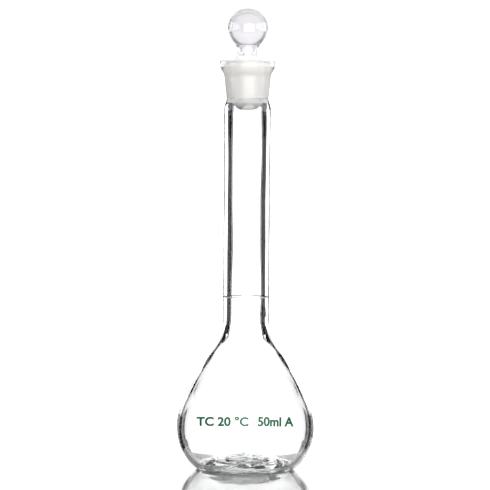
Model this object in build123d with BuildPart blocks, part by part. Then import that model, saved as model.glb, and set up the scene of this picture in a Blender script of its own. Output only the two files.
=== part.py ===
"""Volumetric flask, 50 ml, with a hollow ball-head ground stopper.

The flask stands on its base with +Z up; the origin is the centre of the base circle.
The lettering faces -Y. All sizes are in millimetres.

A pear-shaped bulb is blown on a thick-walled neck tube. The ground socket is sealed
onto the top of the neck, and the stopper lifts straight out of it along +Z.
"""

import os
from math import cos, pi, radians, sin, sqrt

from build123d import *

# ---- driving dimensions -------------------------------------------------------

nominal_volume = 50_000.0        # cubic millimetres held up to the graduation line

# bulb, outside
body_r = 24.1                    # the bulb is a sphere of this radius above its widest circle
equator_height = 14.3            # height of the widest circle
lower_arc_radius = 17.4          # section of the bulb below the widest circle
flank_angle = 26.5               # where the sphere runs into the pear's flank
outer_flank = ((16.3, 35.1), (12.05, 42.05), (9.5, 45.5))    # radius and height of points
outer_neck_foot = 50.8           # the neck is a straight tube from here up

# glass thickness
bulb_wall = 0.94                 # it thickens up the shoulder to the thick neck tube
inner_flank = ((15.1, 35.1), (10.2, 42.05), (6.95, 46.8))
inner_neck_foot = 53.5

# base
contact_inner_r = 14.6           # flat ring that the flask stands on
heel_radius = 1.2                # outside edge of the base
kick_rise = 3.0                  # how far the middle of the base is pushed up
kick_bend = ((7.6, 2.65), (12.0, 1.45))    # radius and height of points on the underside
kick_edge_radius = 0.8
floor_height = 5.0               # inside, in the middle
floor_bend = ((7.6, 4.6), (12.0, 3.45), (14.4, 1.75))
floor_edge_r = 15.7              # inside floor where it meets the heel
floor_edge_height = 1.15
inner_heel_radius = 1.6

# neck
neck_r = 8.2
bore_r = 5.5
flare_start_height = 111.0       # the neck opens a little from here up to the seal
flare_bore_r = 6.1
flare_bore_height = 123.2
bead_height = 124.2              # thickened bead left by sealing the socket on
bead_r = 8.4
seal_height = 127.0              # where the socket is sealed to the neck
seal_r = 8.15
seal_bore_r = 5.55

# ground joint: its diameter changes by 1 in 10
taper_per_side = 0.05
joint_bottom_height = 128.0
joint_bottom_r = 5.5
rim_height = 143.0
rim_r = 9.85
rim_bottom_height = 140.8
rim_edge_radius = 0.6
mouth_edge_radius = 0.25
waist_height = 130.0             # narrowest outside circle, just above the seal
waist_r = 7.45
collar_height = 138.2            # where the outside starts to spread into the rim
collar_r = 8.35
collar_radius = 1.2
joint_clearance = 0.03           # radial, between the ground faces

# stopper
plug_tip_height = 125.6
plug_ground_bottom = 128.2       # lower end of the ground cone
plug_top_height = 141.6          # upper end of the ground cone
plug_wall = 1.2
head_join_height = 144.7         # ground plug below, clear head above
stem_r = 4.0
stem_bore_r = 2.3
ball_r = 7.05
ball_wall = 1.0
ball_centre_height = 154.25
stem_fillet = 0.5

# marks
line_width = 0.35
line_depth = 0.06
enamel_thickness = 0.05
lettering_base = 17.9            # height of the line that the letters stand on
letter_height = 2.9
letter_gap = 0.33                # between letters, in letter heights
stroke_width = 0.45
capacity_text = "50ml A"
capacity_text_left = 4.1
temperature_text = "TC 20 °C"    # to contain, at 20 degrees
temperature_text_left = -17.0
enamel_start_angle = 3.0         # stretch of the sphere that can carry enamel
enamel_sweep_angle = 22.0

# ---- sizes that follow --------------------------------------------------------

flank_slope = radians(flank_angle)
lower_arc_centre_r = body_r - lower_arc_radius
bulb_centre = (0, equator_height)


def pear_lines(wall, flank, tube_r, foot_height):
    """Section of the bulb from its widest circle up to the foot of the neck."""
    radius = body_r - wall
    sphere_end = (radius * cos(flank_slope), equator_height + radius * sin(flank_slope))
    CenterArc(bulb_centre, radius, 0, flank_angle)
    Spline(
        sphere_end,
        *flank,
        (tube_r, foot_height),
        tangents=((-sin(flank_slope), cos(flank_slope)), (0, 1)),
    )


def lower_arc_point(wall, height):
    """Point of the bulb's lower arc at a height, on the skin `wall` inside the outer one."""
    drop = equator_height - height
    return (lower_arc_centre_r + sqrt((lower_arc_radius - wall) ** 2 - drop**2), height)


def lower_arc_line(wall, height):
    """The bulb's lower arc, from a height up to the widest circle."""
    middle = lower_arc_point(wall, (height + equator_height) / 2)
    ThreePointArc(lower_arc_point(wall, height), middle, lower_arc_point(wall, equator_height))


def dome_line(centre_height, bend, edge, edge_direction):
    """Domed surface from the axis out to an edge circle."""
    Spline((0, centre_height), *bend, edge, tangents=((1, 0), edge_direction))


def bulb_space_lines():
    """Half section of the space inside the bulb and the straight part of the neck."""
    dome_line(floor_height, floor_bend, (floor_edge_r, floor_edge_height), (1, 0))
    Line((floor_edge_r, floor_edge_height), lower_arc_point(bulb_wall, floor_edge_height))
    lower_arc_line(bulb_wall, floor_edge_height)
    pear_lines(bulb_wall, inner_flank, bore_r, inner_neck_foot)
    Polyline(
        (bore_r, inner_neck_foot),
        (bore_r, flare_start_height),
        (0, flare_start_height),
        (0, floor_height),
    )


def round_corner(section, corner, radius):
    """Round the corner of a section nearest to a point."""
    fillet(section.vertices().sort_by_distance(corner)[0], radius)


def joint_r(height):
    """Radius of the ground socket at a height."""
    return joint_bottom_r + taper_per_side * (height - joint_bottom_height)


# ---- height of the graduation line: up to it the flask holds its nominal volume -

inner_heel = lower_arc_point(bulb_wall, floor_edge_height)

with BuildPart() as contents:
    with BuildSketch(Plane.XZ) as contents_section:
        with BuildLine():
            bulb_space_lines()
        make_face()
        round_corner(contents_section, inner_heel, inner_heel_radius)
    revolve(axis=Axis.Z)

space_above_line = contents.part.volume - nominal_volume
line_height = flare_start_height - space_above_line / (pi * bore_r**2)
print("graduation line at", round(line_height, 2), "mm")

# ---- flask body: blown bulb, base and neck in one piece of glass ----------------

base_corner = lower_arc_point(0, 0)

with BuildPart() as flask_body:
    with BuildSketch(Plane.XZ) as body_section:
        with BuildLine():
            dome_line(kick_rise, kick_bend, (contact_inner_r, 0), (1, -0.7))
            Line((contact_inner_r, 0), base_corner)
            lower_arc_line(0, 0)
            pear_lines(0, outer_flank, neck_r, outer_neck_foot)
            Line((neck_r, outer_neck_foot), (neck_r, flare_start_height))
            Spline(
                (neck_r, flare_start_height),
                (bead_r, bead_height),
                (seal_r, seal_height),
                tangents=((0, 1), (-0.3, 1)),
            )
            Polyline((seal_r, seal_height), (0, seal_height), (0, kick_rise))
        make_face()
        round_corner(body_section, base_corner, heel_radius)
        round_corner(body_section, (contact_inner_r, 0), kick_edge_radius)
    revolve(axis=Axis.Z)
    with BuildSketch(Plane.XZ) as space_section:
        with BuildLine():
            bulb_space_lines()
        make_face()
        round_corner(space_section, inner_heel, inner_heel_radius)
    revolve(axis=Axis.Z, mode=Mode.SUBTRACT)
    with BuildSketch(Plane.XZ):
        with BuildLine():
            Line((bore_r, flare_start_height), (0, flare_start_height))
            Line((0, flare_start_height), (0, seal_height))
            Line((0, seal_height), (seal_bore_r, seal_height))
            Spline(
                (bore_r, flare_start_height),
                (flare_bore_r, flare_bore_height),
                (seal_bore_r, seal_height),
                tangents=((0, 1), (-0.2, 1)),
            )
        make_face()
    revolve(axis=Axis.Z, mode=Mode.SUBTRACT)
    with BuildSketch(Plane.XZ):
        with Locations((neck_r, line_height)):
            Rectangle(2 * line_depth, line_width)
    revolve(axis=Axis.Z, mode=Mode.SUBTRACT)

flask_body.part.label = "flask_body"

# ---- graduation line: a fired ring, flush in its shallow groove -----------------

with BuildPart() as graduation_line:
    with BuildSketch(Plane.XZ):
        with Locations((neck_r - line_depth / 2, line_height)):
            Rectangle(line_depth, line_width)
    revolve(axis=Axis.Z)

graduation_line.part.label = "graduation_line"

# ---- ground socket: sealed onto the neck, tapered bore, spread rim --------------

mouth_corner = (joint_r(rim_height), rim_height)

with BuildPart() as ground_socket:
    with BuildSketch(Plane.XZ) as socket_section:
        with BuildLine():
            Spline(
                (seal_r, seal_height),
                (waist_r, waist_height),
                tangents=((-0.3, 1), (0.08, 1)),
            )
            Polyline(
                (waist_r, waist_height),
                (collar_r, collar_height),
                (rim_r, rim_bottom_height),
                (rim_r, rim_height),
                mouth_corner,
                (joint_bottom_r, joint_bottom_height),
                (seal_bore_r, seal_height),
                (seal_r, seal_height),
            )
        make_face()
        round_corner(socket_section, (collar_r, collar_height), collar_radius)
        round_corner(socket_section, (rim_r, rim_bottom_height), rim_edge_radius)
        round_corner(socket_section, (rim_r, rim_height), rim_edge_radius)
        round_corner(socket_section, mouth_corner, mouth_edge_radius)
    revolve(axis=Axis.Z)

ground_socket.part.label = "ground_socket"

# ---- stopper plug: hollow, its cone ground to fit the socket --------------------


def plug_r(height):
    """Radius of the ground plug at a height."""
    return joint_r(height) - joint_clearance


plug_inner_top = (plug_r(plug_top_height) - plug_wall, plug_top_height)
plug_inner_bottom = (plug_r(plug_ground_bottom) - plug_wall, plug_ground_bottom)

with BuildPart() as stopper_plug:
    with BuildSketch(Plane.XZ):
        with BuildLine():
            Spline(
                (0, plug_tip_height),
                (plug_r(plug_ground_bottom), plug_ground_bottom),
                tangents=((1, 0), (taper_per_side, 1)),
            )
            Line(
                (plug_r(plug_ground_bottom), plug_ground_bottom),
                (plug_r(plug_top_height), plug_top_height),
            )
            Spline(
                (plug_r(plug_top_height), plug_top_height),
                (stem_r, head_join_height),
                tangents=((taper_per_side, 1), (0, 1)),
            )
            Line((stem_r, head_join_height), (stem_bore_r, head_join_height))
            Spline(
                (stem_bore_r, head_join_height),
                plug_inner_top,
                tangents=((0, -1), (-taper_per_side, -1)),
            )
            Line(plug_inner_top, plug_inner_bottom)
            Spline(
                plug_inner_bottom,
                (0, plug_tip_height + plug_wall),
                tangents=((-taper_per_side, -1), (-1, 0)),
            )
            Line((0, plug_tip_height + plug_wall), (0, plug_tip_height))
        make_face()
    revolve(axis=Axis.Z)

stopper_plug.part.label = "stopper_plug"

# ---- stopper head: clear hollow ball on its stem --------------------------------

with BuildPart() as stopper_head:
    with BuildSketch(Plane.XY.offset(head_join_height)):
        Circle(stem_r)
    extrude(amount=ball_centre_height - head_join_height)
    with Locations((0, 0, ball_centre_height)):
        Sphere(ball_r)
    stem_ring = stopper_head.edges().filter_by(GeomType.CIRCLE).sort_by(Axis.Z)[1]
    fillet(stem_ring, stem_fillet)
    with BuildSketch(Plane.XY.offset(head_join_height)):
        Circle(stem_bore_r)
    extrude(amount=ball_centre_height - head_join_height, mode=Mode.SUBTRACT)
    with Locations((0, 0, ball_centre_height)):
        Sphere(ball_r - ball_wall, mode=Mode.SUBTRACT)

stopper_head.part.label = "stopper_head"

# ---- lettering: generic marks in fired enamel on the front of the bulb ----------


def letter_lines(letter, left):
    """Draw one letter as pen lines on the lettering's base line; return where the next one starts."""

    def at(x, y):
        return (left + x * letter_height, lettering_base + y * letter_height)

    def line(*points):
        Polyline(*[at(x, y) for x, y in points])

    def arc(x, y, radius, start, sweep):
        CenterArc(at(x, y), radius * letter_height, start, sweep)

    widths = {"5": 0.6, "0": 0.6, "2": 0.6, "m": 0.84, "l": 0.0, "A": 0.8, "T": 0.7, "C": 0.7}
    if letter == "5":
        line((0.55, 1), (0.1, 1), (0.03, 0.5))
        arc(0.27, 0.32, 0.3, 143, -270)
    elif letter == "0":
        arc(0.3, 0.7, 0.3, 0, 180)
        arc(0.3, 0.3, 0.3, 180, 180)
        line((0, 0.7), (0, 0.3))
        line((0.6, 0.3), (0.6, 0.7))
    elif letter == "2":
        arc(0.3, 0.7, 0.3, -35, 200)
        line((0.546, 0.528), (0, 0), (0.6, 0))
    elif letter == "m":
        line((0, 0), (0, 0.7))
        for stem in (0.42, 0.84):
            arc(stem - 0.21, 0.5, 0.21, 0, 180)
            line((stem, 0.5), (stem, 0))
    elif letter == "l":
        line((0, 0), (0, 1))
    elif letter == "A":
        line((0, 0), (0.4, 1), (0.8, 0))
        line((0.13, 0.33), (0.67, 0.33))
    elif letter == "T":
        line((0, 1), (0.7, 1))
        line((0.35, 0), (0.35, 1))
    elif letter == "C":
        arc(0.38, 0.62, 0.38, 25, 155)
        arc(0.38, 0.38, 0.38, 180, 155)
        line((0, 0.62), (0, 0.38))
    elif letter == "°":
        arc(0.15, 0.85, 0.13, 0, 360)
    width = widths.get(letter, 0.3)
    return left + (width + letter_gap) * letter_height


def enamel_lines():
    """Half section of the thin layer that the enamel fills, on the upper half of the bulb."""
    inner = CenterArc(bulb_centre, body_r, enamel_start_angle, enamel_sweep_angle)
    outer_r = body_r + enamel_thickness
    outer = CenterArc(bulb_centre, outer_r, enamel_start_angle, enamel_sweep_angle)
    Line(inner @ 0, outer @ 0)
    Line(inner @ 1, outer @ 1)


with BuildPart() as capacity_marking:
    with BuildSketch(Plane.XZ):
        with BuildLine():
            enamel_lines()
        make_face()
    revolve(axis=Axis.Z)
    with BuildSketch(Plane.XZ):
        with BuildLine():
            pen = capacity_text_left
            for letter in capacity_text:
                pen = letter_lines(letter, pen)
        trace(line_width=stroke_width)
    extrude(amount=body_r + 1, mode=Mode.INTERSECT)

capacity_marking.part.label = "capacity_marking"

with BuildPart() as temperature_marking:
    with BuildSketch(Plane.XZ):
        with BuildLine():
            enamel_lines()
        make_face()
    revolve(axis=Axis.Z)
    with BuildSketch(Plane.XZ):
        with BuildLine():
            pen = temperature_text_left
            for letter in temperature_text:
                pen = letter_lines(letter, pen)
        trace(line_width=stroke_width)
    extrude(amount=body_r + 1, mode=Mode.INTERSECT)

temperature_marking.part.label = "temperature_marking"

# ---- write the pieces -----------------------------------------------------------

os.makedirs("parts", exist_ok=True)
export_step(flask_body.part, "parts/flask_body.step")
export_step(graduation_line.part, "parts/graduation_line.step")
export_step(ground_socket.part, "parts/ground_socket.step")
export_step(stopper_plug.part, "parts/stopper_plug.step")
export_step(stopper_head.part, "parts/stopper_head.step")
export_step(capacity_marking.part, "parts/capacity_marking.step")
export_step(temperature_marking.part, "parts/temperature_marking.step")
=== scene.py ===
"""Volumetric flask with a ball-head ground stopper, standing on a small glossy sheet.

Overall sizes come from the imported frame, and outlines are written in millimetres, as (r, z).
The flask's glass is one lathed skin with a slightly uneven, hand-worked surface.
"""

import math

import bmesh
import bpy
import numpy as np
from mathutils import Matrix, Vector


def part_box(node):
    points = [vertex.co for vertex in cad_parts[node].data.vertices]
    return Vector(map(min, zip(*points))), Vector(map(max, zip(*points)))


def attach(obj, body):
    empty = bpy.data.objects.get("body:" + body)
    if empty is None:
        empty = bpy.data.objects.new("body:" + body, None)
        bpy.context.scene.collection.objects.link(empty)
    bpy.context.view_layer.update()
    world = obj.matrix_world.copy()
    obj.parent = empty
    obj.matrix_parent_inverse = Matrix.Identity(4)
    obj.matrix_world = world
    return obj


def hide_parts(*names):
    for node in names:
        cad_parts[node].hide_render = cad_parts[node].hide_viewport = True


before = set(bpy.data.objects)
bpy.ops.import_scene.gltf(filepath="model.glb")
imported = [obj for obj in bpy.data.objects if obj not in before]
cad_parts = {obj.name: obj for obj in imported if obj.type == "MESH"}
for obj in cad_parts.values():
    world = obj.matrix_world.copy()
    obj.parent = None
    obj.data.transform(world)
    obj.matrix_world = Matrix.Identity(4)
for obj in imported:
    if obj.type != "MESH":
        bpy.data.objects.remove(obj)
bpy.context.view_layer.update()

MM = 0.001

# ---- sizes read from the frame, in millimetres ----------------------------------


def node_box(node):
    """Lowest and highest corner of a CAD node, in millimetres."""
    low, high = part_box(node)
    return low / MM, high / MM


body_high = node_box("flask_body")[1]
socket_high = node_box("ground_socket")[1]
line_low, line_high = node_box("graduation_line")
plug_low, plug_high = node_box("stopper_plug")
head_high = node_box("stopper_head")[1]

BODY_R = body_high.x
SEAL_Z = body_high.z
RIM_R = socket_high.x
RIM_Z = socket_high.z
LINE_Z = (line_low.z + line_high.z) / 2
LINE_W = line_high.z - line_low.z
NECK_R = line_high.x
PLUG_TIP_Z = plug_low.z
HEAD_JOIN_Z = plug_high.z
BALL_R = head_high.x
BALL_Z = head_high.z - BALL_R

# ---- the flask's section, in millimetres ------------------------------------------

WALL = 1.55                      # thickness of the bulb's wall
EQUATOR_Z = 14.3                 # height of the bulb's widest circle
LOWER_ARC_R = 17.4               # radius of the arc below the widest circle
SHOULDER_TURN = 26.5             # degrees of round shoulder above the widest circle
OUTER_FLANK = [(16.3, 35.1), (12.05, 42.05), (9.5, 45.5)]
OUTER_FOOT_Z = 50.8              # height where the neck's outside becomes straight
INNER_FLANK = [(14.8, 35.1), (10.05, 42.05), (6.8, 46.8)]
INNER_FOOT_Z = 53.5              # height where the bore becomes straight
INNER_HEEL_Z = 1.9               # height where the inside wall turns in to the floor
OUTER_HEEL_Z = 0.5               # the same for the outside wall and the base
# the pushed-up base, on its inside and on its outside
INNER_FLOOR = [(0, 5.0), (7.6, 4.6), (12.0, 3.45), (14.4, 1.75), (15.7, 1.15)]
KICK = [(0, 3.0), (7.6, 2.65), (12.0, 1.45), (14.1, 0.3)]
BORE_R = 5.5                     # inside the neck
TUBE_TOP_Z = 111.0               # height where the neck starts to swell towards the seal
JOINT_BOTTOM_Z = 128.0
JOINT_BOTTOM_R = 5.5
TAPER = 0.05                     # on the radius, so 1 in 10 on the diameter
WAIST = (7.45, 130.0)            # narrowest circle of the socket's outside, above the seal
FLARE = (8.0, RIM_Z - 8.0)       # where the socket's outside starts to spread to the rim
WAVY_SEAL_Z = 126.0              # middle of the uneven ring that the seal leaves
WAVY_SEAL_SPREAD = 1.9

# ---- the stopper's section, in millimetres ------------------------------------------

GROUND_GAP = 0.03
PLUG_GROUND_Z = 128.2            # lower end of the ground cone
PLUG_TOP_Z = 141.6               # upper end of the ground cone
STOPPER_WALL = 1.1
STEM_R = 4.0
STEM_BORE_R = 2.3
FILLET_TURN = 5                  # degrees of the ball taken up by the fillet round the stem

# ---- the camera and the lettering ----------------------------------------------------

CAMERA_DISTANCE = 0.942          # metres
CAMERA_HEIGHT = 0.123            # metres
AIM_X = -0.0005                  # metres
AIM_Z = 0.0787                   # metres
VIEW_SLOPE = 0.112               # how steeply the camera looks down on the lettering
LETTER_BASE = 15.2               # where the base line meets the axis, seen from the camera
LETTER_HEIGHT = 3.2
LETTER_GRID = 0.4                # the letters are cut this finely to follow the bulb
ENAMEL_RAISED = 0.05             # how far the enamel stands out of the glass
ENAMEL_SUNK = 0.02               # how far it reaches into it

# ---- outlines ------------------------------------------------------------------------


def arc(centre, radius, start, end, steps):
    """Points on a circle in the (r, z) section, from one angle to another in degrees."""
    angles = np.radians(np.linspace(start, end, steps))
    return [(centre[0] + radius * math.cos(a), centre[1] + radius * math.sin(a)) for a in angles]


def straight(start, end, steps):
    """Points along a straight stretch of the section."""
    shares = np.linspace(0, 1, steps)
    return [(start[0] + s * (end[0] - start[0]), start[1] + s * (end[1] - start[1])) for s in shares]


def spline(points, start_direction, end_direction, steps):
    """Smooth cubic through points of the section, leaving and arriving in given directions."""
    pts = np.array(points, float)
    gaps = np.linalg.norm(np.diff(pts, axis=0), axis=1)
    count = len(pts)
    matrix = np.zeros((count, count))
    right = np.zeros((count, 2))
    matrix[0, 0] = matrix[-1, -1] = 1
    right[0] = np.array(start_direction) / np.linalg.norm(start_direction)
    right[-1] = np.array(end_direction) / np.linalg.norm(end_direction)
    for k in range(1, count - 1):
        a, b = gaps[k - 1], gaps[k]
        matrix[k, k - 1 : k + 2] = (b, 2 * (a + b), a)
        right[k] = 3 * (b * (pts[k] - pts[k - 1]) / a + a * (pts[k + 1] - pts[k]) / b)
    slopes = np.linalg.solve(matrix, right)
    out = []
    for k in range(count - 1):
        for t in np.linspace(0, 1, steps, endpoint=False):
            h0, h1 = 2 * t**3 - 3 * t**2 + 1, t**3 - 2 * t**2 + t
            h2, h3 = -2 * t**3 + 3 * t**2, t**3 - t**2
            p = h0 * pts[k] + h1 * gaps[k] * slopes[k] + h2 * pts[k + 1] + h3 * gaps[k] * slopes[k + 1]
            out.append(tuple(p))
    out.append(tuple(pts[-1]))
    return out


def rounded(points, radii, steps=8):
    """Polyline whose corners are eased, from and to where an arc of the given radius would touch."""
    out = [points[0]]
    for before, corner, after, radius in zip(points, points[1:], points[2:], radii):
        a, b, c = (np.array(p, float) for p in (before, corner, after))
        u = (a - b) / np.linalg.norm(a - b)
        v = (c - b) / np.linalg.norm(c - b)
        turn = math.acos(float(np.clip(u @ v, -1, 1)))
        reach = radius / math.tan(turn / 2)
        start, end = b + u * reach, b + v * reach
        for t in np.linspace(0, 1, steps):
            out.append(tuple((1 - t) ** 2 * start + 2 * t * (1 - t) * b + t**2 * end))
    out.append(points[-1])
    return out


def pear(wall, flank, tube_r, foot_z):
    """Section of the bulb from its widest circle up to the foot of the neck."""
    radius = BODY_R - wall
    turn = math.radians(SHOULDER_TURN)
    sphere = arc((0, EQUATOR_Z), radius, 0, math.degrees(turn), 24)
    climb = (-math.sin(turn), math.cos(turn))
    return sphere[:-1] + spline([sphere[-1], *flank, (tube_r, foot_z)], climb, (0, 1), 14)


def lower_arc(wall, height, steps):
    """The bulb's lower arc, from a height up to the widest circle."""
    radius = LOWER_ARC_R - wall
    start = -math.degrees(math.asin((EQUATOR_Z - height) / radius))
    return arc((BODY_R - LOWER_ARC_R, EQUATOR_Z), radius, start, 0, steps)


def inner_outline():
    """Inside of the glass, from the middle of the floor up to the ground joint."""
    low = lower_arc(WALL, INNER_HEEL_Z, 34)
    bottom = spline(INNER_FLOOR, (1, 0), (1, 0), 16)
    rise = (low[1][0] - low[0][0], low[1][1] - low[0][1])
    heel = spline([bottom[-1], low[0]], (1, 0.05), rise, 8)
    bulb = pear(WALL, INNER_FLANK, BORE_R, INNER_FOOT_Z)
    neck = straight((BORE_R, INNER_FOOT_Z), (BORE_R, TUBE_TOP_Z), 70)
    seal = [(BORE_R, TUBE_TOP_Z), (5.5, 122.2), (5.46, 126.2), (JOINT_BOTTOM_R, JOINT_BOTTOM_Z)]
    return bottom[:-1] + heel[:-1] + low[:-1] + bulb[:-1] + neck[:-1] + spline(seal, (0, 1), (TAPER, 1), 12)


def joint_r(z):
    """Radius of the ground socket at a height."""
    return JOINT_BOTTOM_R + TAPER * (z - JOINT_BOTTOM_Z)


def rim_outline():
    """From just inside the mouth, over the rim and down its underside."""
    corners = [(joint_r(RIM_Z - 1), RIM_Z - 1), (joint_r(RIM_Z), RIM_Z), (RIM_R, RIM_Z)]
    corners += [(RIM_R, RIM_Z - 2.2), (8.35, RIM_Z - 4.8), FLARE]
    return rounded(corners, [0.25, 0.55, 0.6, 1.2])


def outer_outline():
    """Outside of the glass, from under the rim down to the middle of the base."""
    socket = straight(FLARE, WAIST, 20)
    seal = spline([WAIST, (8.15, SEAL_Z), (8.4, 124.2), (NECK_R, TUBE_TOP_Z)], (-0.08, -1), (0, -1), 12)
    neck = straight((NECK_R, TUBE_TOP_Z), (NECK_R, OUTER_FOOT_Z), 70)
    bulb = pear(0, OUTER_FLANK, NECK_R, OUTER_FOOT_Z)[::-1]
    low = lower_arc(0, OUTER_HEEL_Z, 40)[::-1]
    heel = spline([low[-1], (16.35, 0.06), (15.9, 0.0)], (-0.75, -0.66), (-1, 0), 5)
    kick = spline(KICK, (1, 0), (1, -0.8), 12)[::-1]
    foot = spline([(15.2, 0.0), (14.7, 0.02), kick[0]], (-1, 0), (-1, 0.8), 5)
    return socket[1:-1] + seal[:-1] + neck[:-1] + bulb[:-1] + low[1:-1] + heel + foot[:-1] + kick


# ---- meshes ----------------------------------------------------------------------


def add_object(name, mesh):
    """New object for a mesh, in the scene."""
    made = bpy.data.objects.new(name, mesh)
    bpy.context.scene.collection.objects.link(made)
    return made


def lathe(name, outline, segments, uneven=None, slots=None):
    """Closed solid of revolution from a section that starts and ends on the axis.

    uneven(r, z, angle, index) moves each point; slots(index) gives a face ring its material slot.
    """
    mesh = bpy.data.meshes.new(name)
    bm = bmesh.new()
    rings = []
    for index, (r, z) in enumerate(outline):
        if r < 1e-6:
            rings.append([bm.verts.new((0, 0, z * MM))])
            continue
        ring = []
        for k in range(segments):
            angle = 2 * math.pi * k / segments
            dr, dz = uneven(r, z, angle, index) if uneven else (0.0, 0.0)
            radius = (r + dr) * MM
            ring.append(bm.verts.new((radius * math.cos(angle), radius * math.sin(angle), (z + dz) * MM)))
        rings.append(ring)
    for index, (a, b) in enumerate(zip(rings, rings[1:])):
        for k in range(segments):
            n = (k + 1) % segments
            if len(a) == 1:
                corners = (a[0], b[k], b[n])
            elif len(b) == 1:
                corners = (a[k], b[0], a[n])
            else:
                corners = (a[k], b[k], b[n], a[n])
            face = bm.faces.new(corners)
            face.smooth = True
            face.material_index = slots(index) if slots else 0
    bmesh.ops.recalc_face_normals(bm, faces=bm.faces)
    bm.to_mesh(mesh)
    bm.free()
    return add_object(name, mesh)


def waves(*terms):
    """Sum of gentle waves: (size, turns round the axis, length along the section, phase) each."""

    def at(angle, along):
        total = 0
        for size, turns, length, phase in terms:
            total += size * math.sin(turns * angle + 2 * math.pi * along / length + phase)
        return total

    return at


wall_waves = waves((0.022, 2, 71.0, 0.4), (0.014, 3, -43.0, 2.1), (0.006, 5, 23.0, 4.0))
seal_waves = waves((0.04, 2, 15.0, 1.0), (0.03, 3, -9.0, 2.6), (0.015, 5, 6.0, 0.3))
floor_waves = waves((0.10, 2, 8.0, 0.2), (0.08, 3, -5.0, 1.7), (0.05, 5, 3.3, 3.9), (0.02, 9, 2.2, 5.1))


def bump(z, centre, width):
    """1 at the centre, falling smoothly to 0."""
    return math.exp(-(((z - centre) / width) ** 2))


def flask_skin():
    """Bulb, neck and socket as one skin of glass."""
    inner = inner_outline()
    rim = rim_outline()
    outer = outer_outline()
    ground = straight(inner[-1], rim[0], 26)[1:-1]
    outline = inner + ground + rim + outer
    inner_count = len(inner) + len(ground)

    def uneven(r, z, angle, index):
        inside = index < inner_count
        in_floor = inside and r < 16.0 and z < 6
        in_joint = inside and z > JOINT_BOTTOM_Z - 0.5
        in_foot = z < 1.0
        if in_floor:
            fade = min(1.0, r / 3.0)    # no waves at the axis, where all angles meet
            return 0.0, fade * floor_waves(angle, r)
        if in_foot or in_joint:
            return 0.0, 0.0
        seal = bump(z, WAVY_SEAL_Z, WAVY_SEAL_SPREAD)
        turned = angle + (1.3 if inside else 0.0)    # so that the wall's thickness varies too
        return wall_waves(turned, z) + seal * seal_waves(angle, z), 0.0

    glasses = [CLEAR, GROUND, SOCKET]

    def slots(index):
        height = (outline[index][1] + outline[index + 1][1]) / 2
        glass = CLEAR
        if index < inner_count and height >= JOINT_BOTTOM_Z:
            glass = GROUND
        if index >= inner_count and height >= WAIST[1]:
            glass = SOCKET
        return glasses.index(glass)

    piece = lathe("flask_glass", outline, 288, uneven, slots)
    for glass in glasses:
        piece.data.materials.append(glass)
    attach(piece, "flask")
    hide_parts("flask_body", "ground_socket")


def graduation_ring():
    """Fine etched line round the neck."""
    low, high = LINE_Z - LINE_W / 2, LINE_Z + LINE_W / 2
    sunk, raised = 0.02, 0.03
    base, top = NECK_R - sunk, NECK_R + raised
    section = [(base, low), (top, low), (top, high), (base, high)]
    mesh = bpy.data.meshes.new("etched_line")
    bm = bmesh.new()
    count = 160
    rings = []
    for k in range(count):
        a = 2 * math.pi * k / count
        swell = wall_waves(a, LINE_Z)
        rings.append([bm.verts.new(((r + swell) * MM * math.cos(a), (r + swell) * MM * math.sin(a), z * MM))
                      for r, z in section])
    for k in range(count):
        a, b = rings[k], rings[(k + 1) % count]
        for i in range(4):
            n = (i + 1) % 4
            bm.faces.new((a[i], b[i], b[n], a[n]))
    bmesh.ops.recalc_face_normals(bm, faces=bm.faces)
    bm.to_mesh(mesh)
    bm.free()
    mesh.materials.append(ETCHED)
    piece = add_object("etched_line", mesh)
    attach(piece, "flask")
    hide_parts("graduation_line")


def lettering(name, text, left, right, node):
    """Fired enamel letters that read as one straight line from the front, where the camera stands."""
    curve = bpy.data.curves.new(name, "FONT")
    curve.body = text
    curve.offset = 0.036    # thickens the strokes
    shape = add_object(name + "_shape", curve)
    flat = bpy.data.meshes.new_from_object(shape)
    bpy.data.objects.remove(shape)
    bm = bmesh.new()
    bm.from_mesh(flat)
    low_x = min(v.co.x for v in bm.verts)
    high_x = max(v.co.x for v in bm.verts)
    cap = max(v.co.y for v in bm.verts)
    for v in bm.verts:
        v.co.x = left + (v.co.x - low_x) / (high_x - low_x) * (right - left)
        v.co.y = LETTER_BASE + v.co.y / cap * LETTER_HEIGHT
    for cut in np.arange(math.floor(left), right, LETTER_GRID):
        geometry = bm.verts[:] + bm.edges[:] + bm.faces[:]
        bmesh.ops.bisect_plane(bm, geom=geometry, plane_co=(cut, 0, 0), plane_no=(1, 0, 0))
    bmesh.ops.triangulate(bm, faces=bm.faces)
    bmesh.ops.remove_doubles(bm, verts=bm.verts, dist=1e-4)
    grown = bmesh.ops.extrude_face_region(bm, geom=bm.faces[:])
    raised = {v for v in grown["geom"] if isinstance(v, bmesh.types.BMVert)}
    distance = CAMERA_DISTANCE / MM
    for v in bm.verts:
        reach = BODY_R + (ENAMEL_RAISED if v in raised else -ENAMEL_SUNK)
        x, level = v.co.x, v.co.y
        depth = reach
        for _ in range(12):    # follows the camera's line of sight to the round glass
            height = level + VIEW_SLOPE * depth
            wide = x * (distance - depth) / distance
            depth = math.sqrt(reach**2 - wide**2 - (height - EQUATOR_Z) ** 2)
        swell = 1 + wall_waves(math.atan2(-depth, wide), height) / reach
        v.co = Vector((wide * swell * MM, -depth * swell * MM, height * MM))
    bmesh.ops.recalc_face_normals(bm, faces=bm.faces)
    bm.to_mesh(flat)
    bm.free()
    flat.materials.clear()
    flat.materials.append(ENAMEL)
    piece = add_object(name, flat)
    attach(piece, "flask")
    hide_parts(node)


def plug_r(z):
    """Radius of the ground plug at a height."""
    return joint_r(z) - GROUND_GAP


def merge(piece, other):
    """Add another object's mesh to a piece, and remove the other object."""
    bm = bmesh.new()
    bm.from_mesh(piece.data)
    bm.from_mesh(other.data)
    bm.to_mesh(piece.data)
    bm.free()
    bpy.data.objects.remove(other)


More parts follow.
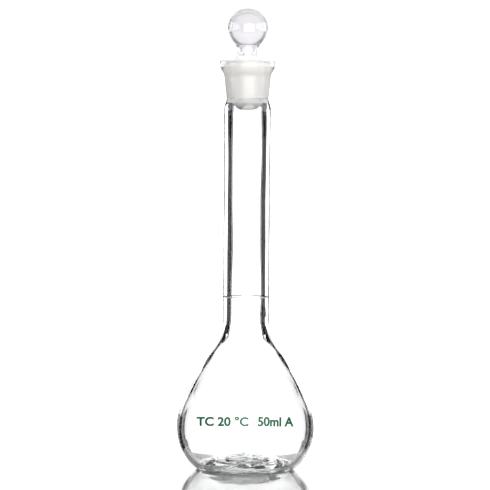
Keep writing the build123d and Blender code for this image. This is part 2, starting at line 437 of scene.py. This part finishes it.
def stopper_skin():
    """Ground plug, stem and ball as one skin, with a second one round the hollow inside."""
    tip = spline([(0, PLUG_TIP_Z), (3.9, PLUG_TIP_Z + 0.55), (plug_r(PLUG_GROUND_Z), PLUG_GROUND_Z)],
                 (1, 0), (TAPER, 1), 12)
    cone = straight((plug_r(PLUG_GROUND_Z), PLUG_GROUND_Z), (plug_r(PLUG_TOP_Z), PLUG_TOP_Z), 24)
    shoulder = spline([(plug_r(PLUG_TOP_Z), PLUG_TOP_Z), (STEM_R, HEAD_JOIN_Z)], (TAPER, 1), (0, 1), 20)
    meet = math.degrees(math.asin(STEM_R / BALL_R))
    ball = arc((0, BALL_Z), BALL_R, meet - 90 + FILLET_TURN, 90, 64)
    stem = spline([(STEM_R, HEAD_JOIN_Z), (STEM_R, ball[0][1] - 0.9), ball[0]], (0, 1), (0.9, 0.5), 10)
    outline = tip[:-1] + cone[:-1] + shoulder[:-1] + stem[:-1] + ball[:-1] + [(0.0, BALL_Z + BALL_R)]

    glasses = [GROUND, HEAD]

    def slots(index):
        return glasses.index(GROUND if outline[index][1] < HEAD_JOIN_Z - 0.1 else HEAD)

    piece = lathe("stopper_glass", outline, 128, None, slots)
    inner_r = BALL_R - STOPPER_WALL
    inner_meet = math.degrees(math.asin(STEM_BORE_R / inner_r))
    inner_ball = arc((0, BALL_Z), inner_r, inner_meet - 90, 90, 50)
    low = (plug_r(PLUG_GROUND_Z) - STOPPER_WALL, PLUG_GROUND_Z + 0.6)
    high = (plug_r(PLUG_TOP_Z) - STOPPER_WALL, PLUG_TOP_Z)
    inside = spline([(0, PLUG_TIP_Z + STOPPER_WALL), low], (1, 0), (TAPER, 1), 12)[:-1]
    inside += straight(low, high, 24)[:-1]
    inside += spline([high, (STEM_BORE_R, HEAD_JOIN_Z), inner_ball[0]], (TAPER, 1), (0, 1), 14)[:-1]
    inside += inner_ball[:-1] + [(0.0, BALL_Z + inner_r)]
    hollow = lathe("stopper_hollow", inside, 96, None, lambda index: glasses.index(HEAD))
    hollow.data.flip_normals()
    merge(piece, hollow)
    for glass in glasses:
        piece.data.materials.append(glass)
    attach(piece, "stopper")
    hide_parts("stopper_plug", "stopper_head")


# ---- materials -------------------------------------------------------------------


def new_material(name, colour, roughness, transmission):
    """Principled material; transmission runs from 0, solid colour, to 1, clear glass."""
    made = bpy.data.materials.new(name)
    made.use_nodes = True
    shader = made.node_tree.nodes["Principled BSDF"]
    shader.inputs["Base Color"].default_value = (*colour, 1)
    shader.inputs["Roughness"].default_value = roughness
    shader.inputs["IOR"].default_value = 1.47
    shader.inputs["Transmission Weight"].default_value = transmission
    return made


CLEAR = new_material("glass_clear", (0.94, 0.945, 0.945), 0.0, 1.0)
GROUND = new_material("glass_ground", (0.97, 0.965, 0.945), 0.55, 0.3)
SOCKET = new_material("glass_socket", (0.975, 0.965, 0.955), 0.25, 0.8)
HEAD = new_material("glass_head", (0.91, 0.90, 0.92), 0.06, 0.75)
ETCHED = new_material("glass_etched", (0.75, 0.75, 0.75), 0.5, 0.6)
ENAMEL = new_material("enamel_green", (0.004, 0.095, 0.036), 0.45, 0.0)
FLOOR_WHITE = new_material("floor_white", (0.45, 0.45, 0.45), 0.02, 0.0)


# ---- stage -----------------------------------------------------------------------


def camera():
    """Long lens, looking slightly down at the middle of the flask, rolled by under half a degree."""
    aim = Vector((AIM_X, 0, AIM_Z))
    data = bpy.data.cameras.new("camera")
    data.lens = 198
    data.sensor_width = 36
    made = add_object("camera", data)
    made.location = (AIM_X, -CAMERA_DISTANCE, CAMERA_HEIGHT)
    made.rotation_mode = "QUATERNION"
    look = (aim - made.location).to_track_quat("-Z", "Y")
    roll = Matrix.Rotation(math.radians(0.4), 4, "Z").to_quaternion()
    made.rotation_quaternion = look @ roll
    bpy.context.scene.camera = made
    return made


def glow(name, strength):
    """Plain glowing material for the studio's cards."""
    made = bpy.data.materials.new(name)
    made.use_nodes = True
    tree = made.node_tree
    tree.nodes.clear()
    out = tree.nodes.new("ShaderNodeOutputMaterial")
    emission = tree.nodes.new("ShaderNodeEmission")
    emission.inputs["Strength"].default_value = strength
    tree.links.new(emission.outputs[0], out.inputs["Surface"])
    return made


def card(name, corners, owner, strength):
    """Flat glowing card fixed to the camera; corners are in the camera's own frame, in metres."""
    mesh = bpy.data.meshes.new(name)
    mesh.from_pydata(corners, [], [tuple(range(len(corners)))])
    mesh.materials.append(glow(name + "_glow", strength))
    made = add_object(name, mesh)
    made.parent = owner
    return made


def back_card(name, half_width, low, high, owner, strength):
    """Upright card behind the flask."""
    back = -1.55
    corners = [(-half_width, low, back), (half_width, low, back)]
    corners += [(half_width, high, back), (-half_width, high, back)]
    card(name, corners, owner, strength)


def facing_card(name, azimuth, elevation, distance, width, height, owner, strength):
    """Card seen from the flask at an azimuth (right of the camera) and elevation, facing the flask."""
    a, e = math.radians(azimuth), math.radians(elevation)
    centre = Vector((0, 0, -CAMERA_DISTANCE))
    out = Vector((math.sin(a) * math.cos(e), math.sin(e), math.cos(a) * math.cos(e)))
    side = Vector((0, 1, 0)).cross(out).normalized()
    up = out.cross(side)
    middle = centre + out * distance
    half_w, half_h = side * width / 2, up * height / 2
    corners = [middle - half_w - half_h, middle + half_w - half_h]
    corners += [middle + half_w + half_h, middle - half_w + half_h]
    card(name, [tuple(corner) for corner in corners], owner, strength)


def head_card(name, x, owner, strength):
    """Small upright card beside the stopper and socket, outside the picture."""
    near, far, low, high = -0.80, -1.08, 0.059, 0.14
    corners = [(x, low, near), (x, low, far), (x, high, far), (x, high, near)]
    card(name, corners, owner, strength)


def top_card(name, owner, strength):
    """Small level card above the stopper, outside the picture."""
    half_width, height, near, far = 0.14, 0.15, -0.78, -1.1
    corners = [(-half_width, height, near), (half_width, height, near)]
    corners += [(half_width, height, far), (-half_width, height, far)]
    card(name, corners, owner, strength)


def studio(owner):
    """Cards behind and in front of the flask, and round its head, in a nearly black room."""
    world = bpy.data.worlds.new("room")
    bpy.context.scene.world = world
    world.use_nodes = True
    world.node_tree.nodes["Background"].inputs["Color"].default_value = (0.012, 0.012, 0.014, 1)
    foot_top, low_top, middle_top = -0.145, -0.046, 0.106
    back_card("back_foot", 0.14, -0.4, foot_top, owner, 1.6)
    back_card("back_low", 0.165, foot_top, low_top, owner, 1.6)
    back_card("back_middle", 0.32, low_top, middle_top, owner, 1.9)
    back_card("back_high", 0.165, middle_top, 0.28, owner, 1.15)
    facing_card("front", 8, 6, 1.15, 1.4, 1.2, owner, 4.5)
    head_card("head_left", -0.14, owner, 2.5)
    head_card("head_right", 0.14, owner, 2.9)
    top_card("head_top", owner, 0.8)


def floor():
    """Round sheet with a glossy face; most of it lies in front of the flask, towards the camera."""
    radius, forward = 0.045, 0.018
    mesh = bpy.data.meshes.new("floor")
    bm = bmesh.new()
    bmesh.ops.create_circle(bm, cap_ends=True, segments=128, radius=radius)
    bmesh.ops.translate(bm, verts=bm.verts, vec=(0, -forward, 0))
    bm.to_mesh(mesh)
    bm.free()
    mesh.materials.append(FLOOR_WHITE)
    made = add_object("floor", mesh)


# ---- the whole picture ---------------------------------------------------------------

flask_skin()
stopper_skin()
graduation_ring()
lettering("temperature_letters", "TC 20 °C", -17.1, 1.2, "temperature_marking")
lettering("capacity_letters", "50ml A", 4.4, 17.0, "capacity_marking")
studio(camera())
floor()
bpy.context.scene.view_settings.view_transform = "Standard"
bpy.context.scene.cycles.max_bounces = 24
bpy.context.scene.cycles.transmission_bounces = 24
bpy.context.scene.cycles.glossy_bounces = 12
